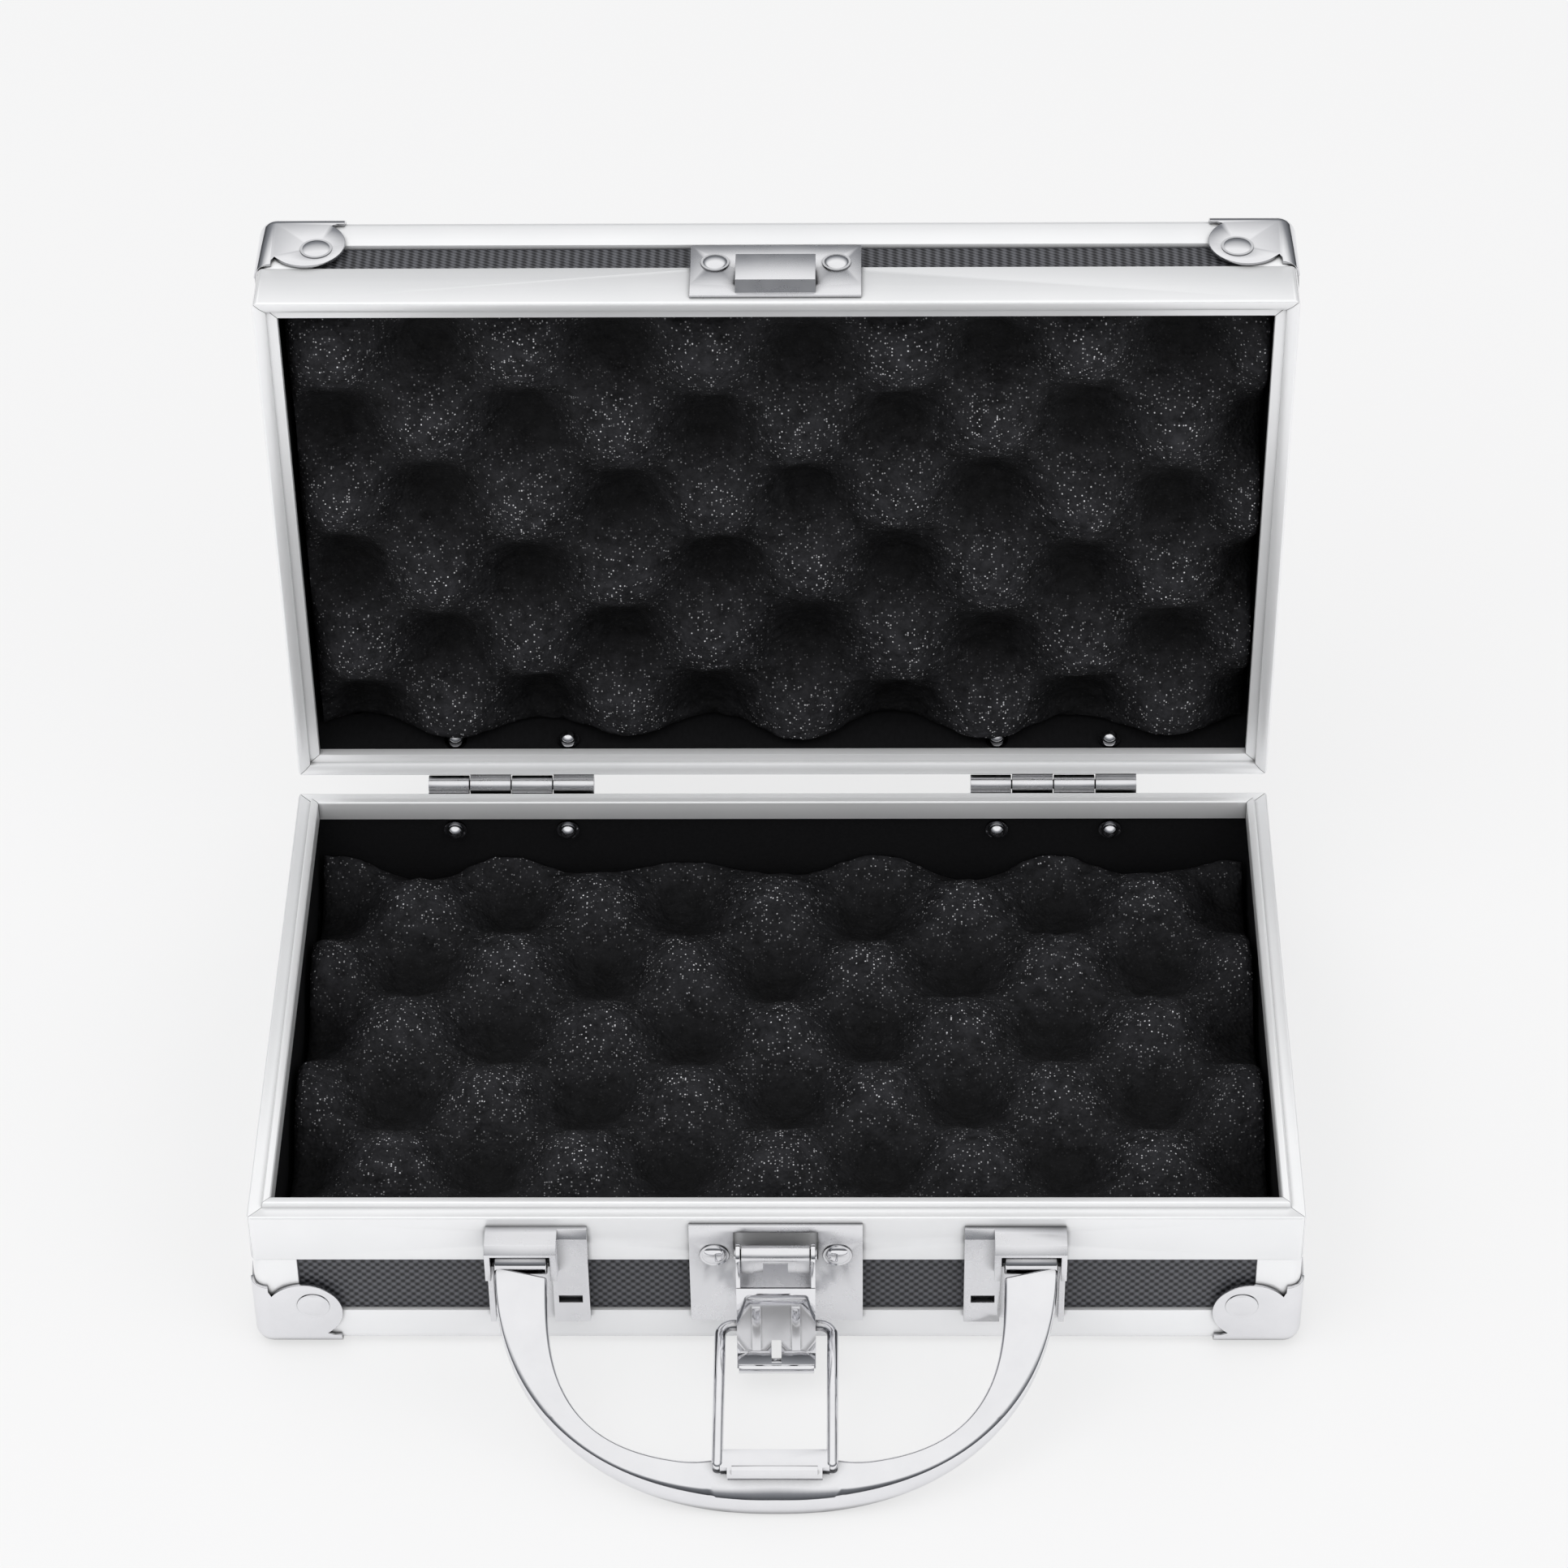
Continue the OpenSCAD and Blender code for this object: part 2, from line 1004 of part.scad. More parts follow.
// Lever: a pressed channel with two side flanges, two ribs, a slot and a curled lip.
module lever_face() {
    polygon([
        [-pivot_q - 2.8, pivot_z - 7.8], [-pivot_q - 3.6, pivot_z - 7.4], [-bail_q - 3, bail_z + 1],
        [-bail_q - 4.2, bail_z - 4.4], [-bail_q - 6.4, bail_z - 7.6], [-bail_q - 5.6, bail_z - 8.3],
        [-bail_q - 3.2, bail_z - 5], [-bail_q - 2, bail_z + 1]
    ]);
}

module lever_flange() {
    difference() {
        union() {
            translate([-pivot_q, pivot_z])
                circle(eye_r);
            polygon([
                [-pivot_q + eye_r, pivot_z], [-pivot_q - eye_r, pivot_z], [-pivot_q - 3.4, pivot_z - 7.5],
                [-bail_q - 2.8, bail_z + 1], [-bail_q - 4, bail_z - 4.4], [-bail_q + 0.4, bail_z - 4],
                [-bail_q + 2.2, bail_z - 1.4], [-bail_q + 2.2, bail_z + 8]
            ]);
        }
        translate([-pivot_q, pivot_z])
            circle(latch_pin_r + running);
        translate([-bail_q, bail_z])
            circle(wire_r + running);
    }
}

module latch_lever() {
    color(bright)
        at_base()
            translate([0, -half_d, 0]) {
                difference() {
                    along_x(lever_w)
                        lever_face();
                    block([-1.1, -hood_q * 3, bail_z - 6.4], [1.1, 0, bail_z - 1.2]);
                }
                for (x = [-1, 1])
                    translate([x * (flange_half + flange_t / 2), 0, 0])
                        along_x(flange_t)
                            lever_flange();
                for (x = [-1, 1])
                    translate([x * lever_w / 4, 0, 0])
                        along_x(2)
                            polygon([
                                [-pivot_q - 3.4, pivot_z - 12], [-pivot_q - 4.6, pivot_z - 13],
                                [-bail_q - 3.7, bail_z + 1], [-bail_q - 4.7, bail_z - 3.4],
                                [-bail_q - 3.4, bail_z - 3.4]
                            ]);
                bar_x(1.1, -lever_w / 2 + 0.4, lever_w / 2 - 0.4, -bail_q - 6.1, bail_z - 7.9);
            }
}

// Bail: a bent wire with inward ends in the lever's holes and a pressed hook plate at its far end.
module bail_leg() {
    bend = 3;
    inner = flange_half - 0.5;
    bar_x(wire_r, inner, bail_half - bend, 0, 0);
    translate([bail_half - bend, -bend, 0])
        rotate_extrude(angle = 90)
            translate([bend, 0])
                circle(wire_r);
    bar_y(wire_r, bail_half, -bail_len + 3.4, -bend, 0);
    translate([bail_half, -bail_len + 3.4, 0])
        sphere(wire_r);
}

module latch_bail() {
    half = bail_half - 0.6;
    low = -bail_plate_t / 2;
    color(bright)
        at_base()
            translate([0, -half_d - bail_q, bail_z])
                rotate([bail_drop, 0, 0]) {
                    both_sides()
                        bail_leg();
                    block([-half, -bail_len + 2, low], [half, -bail_len + 7, -low]);
                    block([-half + 1.6, -bail_len, low], [half - 1.6, -bail_len + 3, -low]);
                    block([-window_half, -bail_len, low], [window_half, -hook_at, 2.3]);
                }
}

// Catch: a plate riveted to the lid, with a tongue pressed out for the bail's hook.
module catch_plate() {
    edge_q = 0.8;
    color(bright)
        at_lid()
            translate([0, -half_d, base_h + seam_gap])
                difference() {
                    union() {
                        difference() {
                            along_x(plate_w)
                                polygon([
                                    [0, 1.7], [-edge_q, 1.7], [-web_t, 5.5], [-web_t, 20.7], [0, 20.7]
                                ]);
                            block([-9, -hood_q, 4.4], [9, cut, catch_end - 1.5]);
                        }
                        along_x(lever_w + 0.4)
                            polygon([
                                [0, 2.4], [-edge_q, 2.4], [-catch_lip_q, 3.2], [-catch_lip_q, catch_end],
                                [-catch_lip_q + web_t, catch_end], [-catch_lip_q + web_t, 4.4], [0, 4.4]
                            ]);
                    }
                    translate([0, half_d, -base_h - seam_gap])
                        latch_bores(base_h + seam_gap + catch_rivet_h);
                }
}

module catch_plate_rivets() {
    color(bright)
        at_lid()
            plate_rivets(base_h + seam_gap + catch_rivet_h, web_t);
}

// ---------- handle ----------

// A plate with a hood over the arm's pivot; the hood is open in front and below.
module bracket() {
    room_in = arm_at - arm_w / 2 - bore_side;
    room_out = arm_at + arm_w / 2 + bore_side;
    difference() {
        union() {
            translate([(bracket_in + bracket_out) / 2, 0, 0])
                along_x(bracket_out - bracket_in)
                    polygon([
                        [0, bracket_low], [-bracket_t, bracket_low + 0.6], [-bracket_t, bracket_top - 2],
                        [-1, bracket_top], [0, bracket_top]
                    ]);
            translate([(room_in + bracket_out - hood_wall) / 2, 0, 0])
                along_x(bracket_out - room_in + hood_wall)
                    polygon([
                        [0, hood_low], [-hood_q, hood_low + 3.4], [-hood_q, bracket_top - 1.6],
                        [-hood_q + 1.6, bracket_top], [0, bracket_top]
                    ]);
        }
        block([room_in, -hood_q - cut, bracket_low - cut], [room_out, -0.6, bracket_top - 2.4]);
        block([bracket_in + 1.6, -bracket_t - cut, 16], [room_in - 1.2, -0.6, 18.4]);
        bar_x(handle_pin_r, room_in - cut, room_out + 0.8, -handle_q, handle_z);
    }
}

module handle_bracket_right() {
    color(bright)
        at_base()
            difference() {
                translate([0, -half_d, 0])
                    bracket();
                bracket_bores();
            }
}

module handle_bracket_left() {
    color(bright)
        at_base()
            difference() {
                translate([0, -half_d, 0])
                    mirror([1, 0, 0])
                        bracket();
                bracket_bores();
            }
}

module handle_bracket_rivets() {
    color(bright)
        at_base()
            bracket_bores();
}

module handle_pins() {
    inner = arm_at - arm_w / 2 - bore_side - cut;
    outer = arm_at + arm_w / 2 + bore_side + 0.8;
    color(bright)
        at_base()
            both_sides()
                bar_x(handle_pin_r, inner, outer, -half_d - handle_q, handle_z);
}

// The bow's outer and inner outlines, by the angle round it.
outer_p = 2 / 2.25;
inner_p = 2 / 3.3;
inner_reach = handle_reach - 10.5;
inner_half = arm_at - arm_w / 2;
outer_half = arm_at + arm_w / 2;
bow_steps = 44;
bow_start = 1.2;

function power(v, p) = sign(v) * pow(abs(v), p);
function outer_at(a) = [-outer_half * power(cos(a), outer_p), handle_reach * power(sin(a), outer_p)];
function swell(x) = abs(x) < inner_half * 0.42 ? 3 * pow(cos(90 * x / (inner_half * 0.42)), 2) : 0;
function inner_raw(a) = [-inner_half * power(cos(a), inner_p), inner_reach * power(sin(a), inner_p)];
function inner_at(a) = let (p = inner_raw(a)) [p[0], p[1] - swell(p[0])];
function grown(a) = pow(sin(a), 1.5);
function mix(a, b, t) = a + (b - a) * t;

// One section of the bow: fractions across it, and heights about the handle's own plane.
function section(a) =
    let (
        i = inner_at(a),
        o = outer_at(a),
        g = grown(a),
        top = mix(arm_t / 2, 0, g),
        low = mix(-arm_t / 2, -grip_t, g),
        crease = mix(0.86, 0.6, g),
        fall = mix(0.12, 1, g),
        t = top - low,
        shape = [
            [0, mix(top, low, 0.16)], [0.05, top], [crease, top],
            [mix(crease, 1, 0.5), top - fall * t * 0.2], [mix(crease, 1, 0.86), top - fall * t * 0.5],
            [1, top - mix(0.4, 0.86, g) * t], [mix(0.97, 0.98, g), low],
            [0.08, low], [0, mix(low, top, 0.16)]
        ]
    )
    [for (s = shape) [mix(i[0], o[0], s[0]), -mix(i[1], o[1], s[0]), s[1]]];

sections = [for (k = [0:bow_steps]) section(mix(bow_start, 180 - bow_start, k / bow_steps))];
ring = len(sections[0]);
bow_points = [for (s = sections) for (p = s) p];
bow_faces = concat(
    [[for (j = [0:ring - 1]) j]],
    [for (k = [0:bow_steps - 1])
        for (j = [0:ring - 1])
            let (n = (j + 1) % ring, b = k * ring)
                [b + j, b + ring + j, b + ring + n]],
    [for (k = [0:bow_steps - 1])
        for (j = [0:ring - 1])
            let (n = (j + 1) % ring, b = k * ring)
                [b + j, b + ring + n, b + n]],
    [[for (j = [0:ring - 1]) bow_steps * ring + ring - 1 - j]]
);

module handle() {
    color(bright)
        at_base()
            translate([0, -half_d - handle_q, handle_z])
                rotate([handle_drop, 0, 0])
                    difference() {
                        union() {
                            polyhedron(bow_points, bow_faces, convexity = 6);
                            both_sides()
                                bar_x(arm_eye_r, inner_half, outer_half, 0, 0);
                        }
                        both_sides()
                            bar_x(handle_pin_r + running, inner_half - cut, outer_half + cut, 0, 0);
                    }
}

// ---------- foam ----------

module pad(t, nut_z) {
    x = half_w - rim_in - foam_gap;
    y = half_d - rim_in - foam_gap;
    groove = nut_r + foam_gap;
    deep = panel_in + nut_t + nut_dome_t;
    difference() {
        block([-x, -y, panel_in], [x, y, panel_in + t]);
        for (s = [-1, 1])
            for (k = [-0.5, 0.5])
                translate([s * hinge_at + k * screw_pitch, half_d - deep, nut_z - groove])
                    translate([-groove, -foam_gap, 0])
                        cube([2 * groove, deep, case_d]);
    }
}

module base_foam() {
    color(foam_colour)
        at_base()
            pad(base_foam_t, 0);
}

module lid_foam() {
    color(foam_colour)
        lid_shell()
            pad(lid_foam_t, lid_h - screw_at);
}

// ---------- drawing ----------

base_bottom_panel();
base_front_panel();
base_rear_panel();
base_left_panel();
base_right_panel();
base_rim_front();
base_rim_rear();
base_rim_left();
base_rim_right();
base_edge_front();
base_edge_rear();
base_edge_left();
base_edge_right();
base_corner_posts();
base_corner_caps();
base_cap_rivets();
latch_plate();
latch_plate_rivets();
latch_pin();
handle_bracket_left();
handle_bracket_right();
handle_bracket_rivets();
handle_pins();
hinge_base_leaves();
hinge_pins();
hinge_base_screws();
hinge_base_nuts();
base_foam();
lid_top_panel();
lid_front_panel();
lid_rear_panel();
lid_left_panel();
lid_right_panel();
lid_rim_front();
lid_rim_rear();
lid_rim_left();
lid_rim_right();
lid_edge_front();
lid_edge_rear();
lid_edge_left();
lid_edge_right();
lid_corner_posts();
lid_corner_caps();
lid_cap_rivets();
catch_plate();
catch_plate_rivets();
hinge_lid_leaves();
hinge_lid_screws();
hinge_lid_nuts();
lid_foam();
latch_lever();
latch_bail();
handle();
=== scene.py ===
import bpy
import bmesh
import json
import math
import numpy as np
from mathutils import Matrix, Vector

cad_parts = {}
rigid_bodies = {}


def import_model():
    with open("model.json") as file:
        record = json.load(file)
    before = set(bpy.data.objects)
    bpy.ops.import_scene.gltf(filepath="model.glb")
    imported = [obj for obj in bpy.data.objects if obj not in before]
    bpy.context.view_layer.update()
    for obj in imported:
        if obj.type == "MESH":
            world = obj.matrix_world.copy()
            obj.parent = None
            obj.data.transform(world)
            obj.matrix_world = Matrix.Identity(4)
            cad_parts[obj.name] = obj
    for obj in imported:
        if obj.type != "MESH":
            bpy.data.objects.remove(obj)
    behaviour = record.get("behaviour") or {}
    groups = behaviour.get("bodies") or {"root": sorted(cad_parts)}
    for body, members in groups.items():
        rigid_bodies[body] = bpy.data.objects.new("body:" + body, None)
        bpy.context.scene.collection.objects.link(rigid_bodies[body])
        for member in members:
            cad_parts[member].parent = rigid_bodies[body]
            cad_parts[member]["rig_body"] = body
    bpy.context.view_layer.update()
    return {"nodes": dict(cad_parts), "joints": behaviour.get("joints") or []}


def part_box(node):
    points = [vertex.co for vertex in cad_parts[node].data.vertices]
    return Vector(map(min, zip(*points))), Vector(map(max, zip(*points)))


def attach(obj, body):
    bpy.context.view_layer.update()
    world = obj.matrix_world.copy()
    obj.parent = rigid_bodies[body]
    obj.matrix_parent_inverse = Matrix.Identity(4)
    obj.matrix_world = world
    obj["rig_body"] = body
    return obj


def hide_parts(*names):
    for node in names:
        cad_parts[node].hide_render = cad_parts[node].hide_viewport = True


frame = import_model()
nodes = frame["nodes"]
joints = {j["name"]: j for j in frame["joints"]}
print("frame loaded:", len(nodes), "nodes")


def linear(hexColour):
    # sRGB hex to the linear value that a shader wants
    parts = [int(hexColour[i:i + 2], 16) / 255 for i in (1, 3, 5)]
    return tuple(c / 12.92 if c <= 0.04045 else ((c + 0.055) / 1.055) ** 2.4 for c in parts) + (1.0,)


def addNode(tree, kind, settings=None, links=None):
    # a key that the node has as a property sets it, any other key is one of its inputs
    made = tree.nodes.new(kind)
    for key, value in (settings or {}).items():
        if isinstance(key, str) and hasattr(made, key):
            setattr(made, key, value)
        else:
            made.inputs[key].default_value = value
    for key, source in (links or {}).items():
        tree.links.new(source, made.inputs[key])
    return made


def newMaterial(name, settings):
    made = bpy.data.materials.new(name)
    made.use_nodes = True
    tree = made.node_tree
    shader = tree.nodes["Principled BSDF"]
    for key, value in settings.items():
        shader.inputs[key].default_value = value
    place = addNode(tree, "ShaderNodeTexCoord").outputs["Object"]
    return made, tree, shader, place


def paintedCreaseShade(tree, colour, reach, depth):
    # painted shade: the colour is darkened by ambient occlusion within a short reach of inner corners and joints
    shade = addNode(tree, "ShaderNodeAmbientOcclusion", {"Distance": reach, "samples": 8})
    level = addNode(tree, "ShaderNodeMapRange", {"From Min": 0.3, "From Max": 0.85, "To Min": depth, "To Max": 1.0},
                    {"Value": shade.outputs["AO"]})
    return addNode(tree, "ShaderNodeVectorMath", {"operation": "SCALE"},
                   {0: colour, "Scale": level.outputs["Result"]}).outputs["Vector"]


def stretched(tree, place, scale, turn=(0, 0, 0), shift=(0, 0, 0)):
    return addNode(tree, "ShaderNodeMapping", {"Scale": scale, "Rotation": turn, "Location": shift},
                   {"Vector": place}).outputs["Vector"]


def dress(obj, material):
    obj.data.materials.clear()
    obj.data.materials.append(material)
    for face in obj.data.polygons:
        face.material_index = 0


def meshObject(name, verts, faces, smooth=True):
    mesh = bpy.data.meshes.new(name)
    mesh.from_pydata([tuple(v) for v in verts], [], [tuple(f) for f in faces])
    mesh.update()
    for face in mesh.polygons:
        face.use_smooth = smooth
    obj = bpy.data.objects.new(name, mesh)
    bpy.context.scene.collection.objects.link(obj)
    return obj


def settle(obj):
    # turn whatever modifiers the piece has into its plain mesh
    graph = bpy.context.evaluated_depsgraph_get()
    graph.update()
    mesh = bpy.data.meshes.new_from_object(obj.evaluated_get(graph), depsgraph=graph)
    obj.modifiers.clear()
    old = obj.data
    obj.data = mesh
    bpy.data.meshes.remove(old)
    return obj


photoCamera = {
    "place": (0.01837, -0.83382, 0.8598),
    "turn": (48.307, 0.612, 0.575),
    "lens": 113.57,
}

lens = bpy.data.cameras.new("photoCamera")
lens.sensor_width = 36
lens.lens = photoCamera["lens"]
lens.clip_start = 0.05
lens.clip_end = 20
eye = bpy.data.objects.new("photoCamera", lens)
eye.location = photoCamera["place"]
eye.rotation_euler = [math.radians(a) for a in photoCamera["turn"]]
bpy.context.scene.collection.objects.link(eye)
bpy.context.scene.camera = eye
print("camera placed")


def makeAnodised(name, along):
    # satin anodised aluminium, extruded: a soft sheen with faint die lines along the length
    made, tree, shader, place = newMaterial(name, {"Metallic": 0.4})
    scale = [520, 520, 520]
    scale[along] = 9
    lines = addNode(tree, "ShaderNodeTexNoise", {"Scale": 1.0, "Detail": 4.0, "Roughness": 0.6},
                    {"Vector": stretched(tree, place, scale)})
    cloud = addNode(tree, "ShaderNodeTexNoise", {"Scale": 38.0, "Detail": 3.0}, {"Vector": place})
    tint = addNode(tree, "ShaderNodeValToRGB", links={"Fac": cloud.outputs["Fac"]})
    tint.color_ramp.elements[0].color = linear("#eeeff0")
    tint.color_ramp.elements[1].color = linear("#f9f9fa")
    # painted shade: the anodised tint darkens in creases and joints, down to 0.35 of its value
    tree.links.new(paintedCreaseShade(tree, tint.outputs["Color"], 0.0016, 0.35), shader.inputs["Base Color"])
    gloss = addNode(tree, "ShaderNodeMapRange", {"To Min": 0.26, "To Max": 0.42}, {"Value": lines.outputs["Fac"]})
    tree.links.new(gloss.outputs["Result"], shader.inputs["Roughness"])
    relief = addNode(tree, "ShaderNodeBump", {"Strength": 0.12, "Distance": 0.0001}, {"Height": lines.outputs["Fac"]})
    tree.links.new(relief.outputs["Normal"], shader.inputs["Normal"])
    return made


anodisedAlongX = makeAnodised("anodisedAluminiumAlongX", 0)
anodisedAlongY = makeAnodised("anodisedAluminiumAlongY", 1)
anodisedAlongZ = makeAnodised("anodisedAluminiumAlongZ", 2)


def makePlated(name, low, high, smear):
    # bright nickel-chrome plate over pressed steel: mirror bright with a faint orange peel and handling haze
    made, tree, shader, place = newMaterial(name, {"Metallic": 1.0})
    haze = addNode(tree, "ShaderNodeTexNoise", {"Scale": 90.0, "Detail": 5.0, "Roughness": 0.62}, {"Vector": place})
    gloss = addNode(tree, "ShaderNodeMapRange", {"From Min": 0.35, "From Max": 0.7, "To Min": low, "To Max": high},
                    {"Value": haze.outputs["Fac"]})
    tree.links.new(gloss.outputs["Result"], shader.inputs["Roughness"])
    tint = addNode(tree, "ShaderNodeValToRGB", links={"Fac": haze.outputs["Fac"]})
    tint.color_ramp.elements[0].color = linear("#e2e2e5")
    tint.color_ramp.elements[1].color = linear("#f2f2f4")
    # painted shade: the plate's tint darkens in creases and joints, down to 0.08 of its value
    tree.links.new(paintedCreaseShade(tree, tint.outputs["Color"], 0.005, 0.08), shader.inputs["Base Color"])
    peel = addNode(tree, "ShaderNodeTexNoise", {"Scale": 420.0, "Detail": 2.0}, {"Vector": place})
    relief = addNode(tree, "ShaderNodeBump", {"Strength": smear, "Distance": 0.0001}, {"Height": peel.outputs["Fac"]})
    tree.links.new(relief.outputs["Normal"], shader.inputs["Normal"])
    return made


chromePlate = makePlated("chromePlatedSteel", 0.05, 0.1, 0.015)
satinPlate = makePlated("satinNickelPlate", 0.24, 0.32, 0.015)


def makeLaminate():
    # black vinyl laminate on fibreboard, embossed with a fine weave whose dots lie about 1.1 mm apart
    made, tree, shader, place = newMaterial("wovenVinylLaminate", {"Roughness": 0.55, "Specular IOR Level": 0.4})
    pitch = 0.0022
    split = addNode(tree, "ShaderNodeSeparateXYZ", links={"Vector": place})
    waves = []
    for first in ("X", "Z"):
        # both ways vary on every side of the case
        total = addNode(tree, "ShaderNodeMath", {"operation": "ADD"}, {0: split.outputs["Y"], 1: split.outputs[first]})
        source = total.outputs["Value"]
        angle = addNode(tree, "ShaderNodeMath", {"operation": "MULTIPLY", 1: 2 * math.pi / pitch}, {0: source})
        waves.append(addNode(tree, "ShaderNodeMath", {"operation": "SINE"}, {0: angle.outputs["Value"]}).outputs["Value"])
    weave = addNode(tree, "ShaderNodeMath", {"operation": "MULTIPLY"}, {0: waves[0], 1: waves[1]})
    grain = addNode(tree, "ShaderNodeTexNoise", {"Scale": 900.0, "Detail": 3.0}, {"Vector": place})
    mixed = addNode(tree, "ShaderNodeMath", {"operation": "MULTIPLY_ADD", 1: 0.5},
                    {0: grain.outputs["Fac"], 2: weave.outputs["Value"]})
    level = addNode(tree, "ShaderNodeMapRange", {"From Min": -0.35, "From Max": 0.95}, {"Value": mixed.outputs["Value"]})
    tint = addNode(tree, "ShaderNodeValToRGB", links={"Fac": level.outputs["Result"]})
    tint.color_ramp.elements[0].color = linear("#1d1d20")
    tint.color_ramp.elements[1].color = linear("#5e5f64")
    tree.links.new(tint.outputs["Color"], shader.inputs["Base Color"])
    relief = addNode(tree, "ShaderNodeBump", {"Strength": 0.5, "Distance": 0.00012}, {"Height": mixed.outputs["Value"]})
    tree.links.new(relief.outputs["Normal"], shader.inputs["Normal"])
    return made


laminate = makeLaminate()


def makeFoam():
    # open-cell polyurethane foam: soft matt black, with painted highlights where cell struts would glint and painted
    # shade in the valleys
    made, tree, shader, place = newMaterial("openCellFoam", {"Roughness": 0.85, "Specular IOR Level": 0.25})
    cells = addNode(tree, "ShaderNodeTexVoronoi", {"Scale": 1900.0}, {"Vector": place})
    pick = addNode(tree, "ShaderNodeSeparateColor", links={"Color": cells.outputs["Color"]})
    near = addNode(tree, "ShaderNodeMapRange", {"From Min": 0.46, "From Max": 0.2}, {"Value": cells.outputs["Distance"]})
    rare = addNode(tree, "ShaderNodeMapRange", {"From Min": 0.8, "From Max": 1.0}, {"Value": pick.outputs["Red"]})
    # painted highlights: sparse Voronoi cells picked as glint specks
    paintedGlint = addNode(tree, "ShaderNodeMath", {"operation": "MULTIPLY", "use_clamp": True},
                    {0: near.outputs["Result"], 1: rare.outputs["Result"]})
    cloud = addNode(tree, "ShaderNodeTexNoise", {"Scale": 260.0, "Detail": 4.0, "Roughness": 0.7}, {"Vector": place})
    body = addNode(tree, "ShaderNodeValToRGB", links={"Fac": cloud.outputs["Fac"]})
    body.color_ramp.elements[0].position = 0.3
    body.color_ramp.elements[0].color = linear("#0e0e10")
    body.color_ramp.elements[1].position = 0.72
    body.color_ramp.elements[1].color = linear("#2a2a2d")
    depth = addNode(tree, "ShaderNodeAttribute", {"attribute_name": "dip"})
    height = addNode(tree, "ShaderNodeMapRange", {"From Min": 0.92, "From Max": 0.1, "To Min": 0.08, "To Max": 1.0},
                     {"Value": depth.outputs["Fac"]})
    # the painted highlights thin out towards the valley bottoms and are mixed in as light grey specks
    paintedGlintOnPeaks = addNode(tree, "ShaderNodeMath", {"operation": "MULTIPLY"},
                  {0: paintedGlint.outputs["Value"], 1: height.outputs["Result"]})
    mixed = addNode(tree, "ShaderNodeMix", {"data_type": "RGBA"}, {"Factor": paintedGlintOnPeaks.outputs["Value"]})
    tree.links.new(body.outputs["Color"], mixed.inputs[6])
    mixed.inputs[7].default_value = linear("#d8d8dc")
    # painted shade and light: the colour darkens towards the valley bottoms and brightens on the peaks
    paintedValleyShade = addNode(tree, "ShaderNodeMapRange", {"From Min": 1.0, "From Max": 0.0, "To Min": 0.25, "To Max": 1.35},
                   {"Value": depth.outputs["Fac"]})
    paintedShadeColour = addNode(tree, "ShaderNodeVectorMath", {"operation": "SCALE"},
                     {0: mixed.outputs[2], "Scale": paintedValleyShade.outputs["Result"]})
    tree.links.new(paintedShadeColour.outputs["Vector"], shader.inputs["Base Color"])
    holes = addNode(tree, "ShaderNodeTexVoronoi", {"Scale": 900.0}, {"Vector": place})
    relief = addNode(tree, "ShaderNodeBump", {"Strength": 0.8, "Distance": 0.0004}, {"Height": holes.outputs["Distance"]})
    tree.links.new(relief.outputs["Normal"], shader.inputs["Normal"])
    return made


foamMaterial = makeFoam()


def makeLining():
    # black lining paper on the inner side of the panels, with a faint fibre
    made, tree, shader, place = newMaterial("blackLiningPaper", {"Roughness": 0.7, "Specular IOR Level": 0.2})
    fibre = addNode(tree, "ShaderNodeTexNoise", {"Scale": 1.0, "Detail": 4.0},
                    {"Vector": stretched(tree, place, (1300, 420, 1300))})
    tint = addNode(tree, "ShaderNodeValToRGB", links={"Fac": fibre.outputs["Fac"]})
    tint.color_ramp.elements[0].color = linear("#0c0c0d")
    tint.color_ramp.elements[1].color = linear("#1c1c1e")
    tree.links.new(tint.outputs["Color"], shader.inputs["Base Color"])
    relief = addNode(tree, "ShaderNodeBump", {"Strength": 0.2, "Distance": 0.0001}, {"Height": fibre.outputs["Fac"]})
    tree.links.new(relief.outputs["Normal"], shader.inputs["Normal"])
    return made


lining = makeLining()


def linePanel(panel, centre):
    # the faces that look into the case get the lining
    panel.data.materials.append(lining)
    turn = panel.matrix_world.to_3x3()
    for face in panel.data.polygons:
        inward = centre - panel.matrix_world @ face.center
        normal = turn @ face.normal
        axis = max(range(3), key=lambda k: abs(normal[k]))
        if normal[axis] * inward[axis] > 0 and abs(inward[axis]) > 0.004:
            face.material_index = 1
print("materials made")


def broken(node, material, width, segments=2, angle=28):
    # a copy of the solid, joined up, with its real edges rounded by a small radius in metres
    source = nodes[node]
    mesh = source.data.copy()
    bm = bmesh.new()
    bm.from_mesh(mesh)
    bmesh.ops.remove_doubles(bm, verts=bm.verts, dist=2e-6)
    bmesh.ops.dissolve_limit(bm, angle_limit=math.radians(1.0), verts=bm.verts, edges=bm.edges)
    sharp = [e for e in bm.edges if len(e.link_faces) == 2 and e.calc_face_angle(0) > math.radians(angle)]
    bmesh.ops.bevel(bm, geom=sharp, offset=width, segments=segments, profile=0.5, affect="EDGES",
                    clamp_overlap=True, loop_slide=True, harden_normals=False)
    bmesh.ops.triangulate(bm, faces=[f for f in bm.faces if len(f.verts) > 4])
    bm.to_mesh(mesh)
    bm.free()
    for face in mesh.polygons:
        face.use_smooth = True
    piece = bpy.data.objects.new(node + "_piece", mesh)
    bpy.context.scene.collection.objects.link(piece)
    dress(piece, material)
    mesh.set_sharp_from_angle(angle=math.radians(35))
    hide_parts(node)
    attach(piece, source["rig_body"])
    return piece


frameEdges = {"rim": 0.00012, "edge": 0.00015, "panel": 0.0002}

